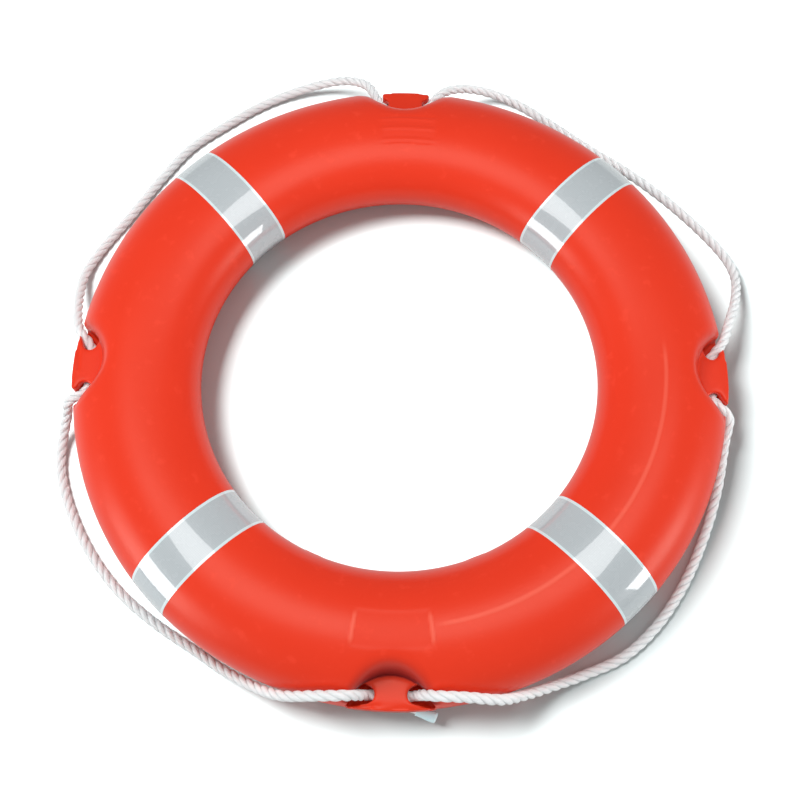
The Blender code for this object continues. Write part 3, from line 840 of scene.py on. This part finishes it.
for i in range(4):
    azimuth = radians(45 + 90 * i)
    bm = bmesh.new()
    bmesh.ops.create_circle(bm, segments=BAND_SECTION, radius=1)
    bmesh.ops.scale(
        bm, vec=(HALF_WIDTH + BAND_PROUD, HALF_HEIGHT + BAND_PROUD, 1), verts=bm.verts
    )
    bmesh.ops.rotate(bm, cent=(0, 0, 0), matrix=Matrix.Rotation(radians(90), 3, "X"), verts=bm.verts)
    bmesh.ops.translate(bm, vec=(SECTION_RADIUS, 0, MID_HEIGHT), verts=bm.verts)
    for vert in bm.verts:
        vert.co.z = max(vert.co.z, 0)
    bmesh.ops.rotate(
        bm, cent=(0, 0, 0), matrix=Matrix.Rotation(radians(-BAND_SWEEP / 2), 3, "Z"), verts=bm.verts
    )
    bmesh.ops.spin(
        bm, geom=bm.verts[:] + bm.edges[:], axis=(0, 0, 1), cent=(0, 0, 0),
        angle=radians(BAND_SWEEP), steps=BAND_STEPS,
    )
    for side in (-1, 1):
        bmesh.ops.bisect_plane(
            bm, geom=bm.verts[:] + bm.edges[:] + bm.faces[:], dist=MERGE_DISTANCE,
            plane_co=(0, side * BAND_WIDTH / 2, 0), plane_no=(0, side, 0), clear_outer=True,
        )
    bmesh.ops.recalc_face_normals(bm, faces=bm.faces)
    layer = bm.loops.layers.uv.new("band")
    for face in bm.faces:
        angles = []
        for loop in face.loops:
            co = loop.vert.co
            angles.append(atan2(
                (co.z - MID_HEIGHT) / HALF_HEIGHT, (hypot(co.x, co.y) - SECTION_RADIUS) / HALF_WIDTH
            ))
        wraps = max(angles) - min(angles) > pi
        for loop, angle in zip(face.loops, angles):
            if wraps and angle < 0:
                angle += 2 * pi
            loop[layer].uv = (loop.vert.co.y, angle * SECTION_MEAN_RADIUS)
    bmesh.ops.rotate(bm, cent=(0, 0, 0), matrix=Matrix.Rotation(azimuth, 3, "Z"), verts=bm.verts)
    bmesh.ops.solidify(bm, geom=bm.faces[:], thickness=BAND_THICKNESS)
    mesh = bpy.data.meshes.new(f"band_{i + 1}")
    bm.to_mesh(mesh)
    bm.free()
    mesh.shade_smooth()
    mesh.set_sharp_from_angle(angle=radians(50))
    band = add_piece(f"band_{i + 1}", mesh, sheeting)
    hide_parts(f"reflective_band_{i + 1}")
    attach(band, "ring")


# Plugs. Pressed into the filling hole and the vent on the ring's inner side, moulded
# from the shell's own plastic; each has a thin flange that lies on the shell.
PLUG_RADIUS = 0.0118
PLUG_PROFILE = (             # from the middle, and out of the shell's skin
    (0.0000, 0.0000), (0.0050, 0.0000), (0.0060, 0.0001), (0.0066, 0.0004),
    (0.0074, 0.0004), (0.0100, 0.0003), (0.0114, 0.0002), (PLUG_RADIUS, -0.0004),
    (0.0114, -0.0012), (0.0000, -0.0012),
)
PLUG_SIDES = 64
INNER_SKIN_BEND = 0.0394     # how the section curves where it is nearest the hole
PLUGS = (                    # name, degrees from the first lug, and the grip on its face
    ("filler_plug", 292.5, (0.0088, 0.0018, 0.0018)),
    ("vent_plug", 247.5, (0.0022, 0.0022, 0.0012)),
)

for name, degree, grip in PLUGS:
    bm = bmesh.new()
    profile = [bm.verts.new((radius, 0, height)) for radius, height in PLUG_PROFILE]
    edges = [bm.edges.new(pair) for pair in zip(profile, profile[1:])]
    bmesh.ops.subdivide_edges(bm, edges=edges, cuts=1)
    bmesh.ops.spin(
        bm, geom=bm.verts[:] + bm.edges[:], axis=(0, 0, 1), cent=(0, 0, 0), angle=2 * pi,
        steps=PLUG_SIDES, use_merge=True,
    )
    bmesh.ops.remove_doubles(bm, verts=bm.verts, dist=MERGE_DISTANCE)
    grip_verts = bmesh.ops.create_cube(bm, size=1)["verts"]
    bmesh.ops.scale(bm, vec=grip, verts=grip_verts)
    bmesh.ops.bevel(
        bm, geom=[edge for edge in bm.edges if edge.verts[0] in grip_verts], offset=0.0003,
        segments=3, profile=0.5, affect="EDGES", material=-1,
    )
    for vert in bm.verts:
        azimuth = radians(degree) + vert.co.x / (SECTION_RADIUS - HALF_WIDTH)
        lift = vert.co.y / INNER_SKIN_BEND
        out = vert.co.z
        reach = SECTION_RADIUS - HALF_WIDTH + INNER_SKIN_BEND * (1 - cos(lift)) - out * cos(lift)
        vert.co = place(azimuth, reach, 0, MID_HEIGHT + (INNER_SKIN_BEND + out) * sin(lift))
    bmesh.ops.recalc_face_normals(bm, faces=bm.faces)
    mesh = bpy.data.meshes.new(f"{name}_cover")
    bm.to_mesh(mesh)
    bm.free()
    mesh.shade_smooth()
    mesh.set_sharp_from_angle(angle=radians(40))
    plug = add_piece(f"{name}_cover", mesh, orange_plastic)
    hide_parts(name)
    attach(plug, "ring")


# Studio. A white floor whose own lamp, high at the left, throws the shadow to the front
# right. The others leave the floor alone: one high at the back left, a wide one overhead,
# soft ones low at both sides, and one for the line alone, which keeps it white.
floor_mesh = bpy.data.meshes.new("floor")
bm = bmesh.new()
bmesh.ops.create_grid(bm, x_segments=1, y_segments=1, size=6)
bm.to_mesh(floor_mesh)
bm.free()
floor = bpy.data.objects.new("floor", floor_mesh)
bpy.context.scene.collection.objects.link(floor)
paper, wire = new_finish(
    "white paper floor", Roughness=0.9, Specular_IOR_Level=0.0, Emission_Strength=1.0
)
# To the camera the paper is white, and bare white away from the ring. Other rays meet a
# darker grey, so that the floor throws little light up at the ring.
seen = wire.node("LightPath", {}, {}, 0)
mirrored = wire.node("LightPath", {}, {}, 3)
far = wire.node("VectorMath", {"operation": "LENGTH"}, {0: wire.place()}, 1).rise(0.75, 1.6)
fibres = wire.speckle(3, 2)
feed(
    paper,
    Base_Color=(seen + mirrored * 0.15).tint(
        fibres.tint((0.34, 0.35, 0.35), (0.35, 0.36, 0.36)),
        fibres.tint((0.73, 0.80, 0.80), (0.74, 0.81, 0.81)),
    ),
    Emission_Color=seen.tint((0, 0, 0), far.tint((0.045, 0.045, 0.045), (1, 1, 1))),
)
floor_mesh.materials.append(paper)

floor_only = bpy.data.collections.new("floor only")
floor_only.objects.link(floor)
ring_only = bpy.data.collections.new("ring only")
ring_only.objects.link(floor)
ring_only.collection_objects[0].light_linking.link_state = "EXCLUDE"


def lamp(name, at, size, power, lit, glossy=True):
    """A soft lamp that points at the ring's middle and lights one collection."""
    light = bpy.data.lights.new(name, "AREA")
    light.shape = "RECTANGLE"
    light.size, light.size_y = size
    light.energy = power
    holder = bpy.data.objects.new(name, light)
    holder.matrix_world = Matrix.Translation(at) @ (
        Vector(at).to_track_quat("Z", "Y").to_matrix().to_4x4()
    )
    holder.visible_glossy = glossy
    holder.light_linking.receiver_collection = lit
    bpy.context.scene.collection.objects.link(holder)
    return light


floor_key = lamp("floor key", (-1.00, 0.30, 1.90), (1.05, 1.05), 22, floor_only, glossy=False)
floor_key.use_nodes = True
even = floor_key.node_tree.nodes.new("ShaderNodeLightFalloff")
even.inputs["Strength"].default_value = 1
floor_key.node_tree.links.new(
    even.outputs["Constant"], floor_key.node_tree.nodes["Emission"].inputs["Strength"]
)
lamp("ring key", (-1.00, 0.55, 2.1), (0.9, 0.9), 16.5, ring_only, glossy=False)
lamp("overhead", (0, 0.00, 1.55), (1.7, 0.75), 11.0, ring_only)
lamp("left front", (-2.3, -1.2, 0.80), (1.3, 1.25), 25, ring_only)
lamp("right front", (2.30, -0.90, 0.72), (0.9, 0.8), 12.5, ring_only)
lamp("left fill", (-2.3, -0.2, 0.60), (1.2, 1.0), 3, ring_only, glossy=False)
lamp("right fill", (2.3, -0.4, 0.60), (1.2, 1.0), 13, ring_only, glossy=False)

line_only = bpy.data.collections.new("line only")
for piece in bpy.context.scene.objects:
    if piece.type == "MESH" and white_rope.name in piece.data.materials:
        line_only.objects.link(piece)
lamp("line light", (0.70, 0.25, 2.2), (1.2, 1.2), 13, line_only, glossy=False)

world = bpy.data.worlds.new("studio")
world.use_nodes = True
bpy.context.scene.world = world
sky = Wire(world.node_tree)
level = sky.node("LightPath", {}, {}, 0).tint((0.32, 0.32, 0.32), (1, 1, 1))
world.node_tree.links.new(level.socket, world.node_tree.nodes["Background"].inputs["Color"])

bpy.context.scene.view_settings.view_transform = "Standard"
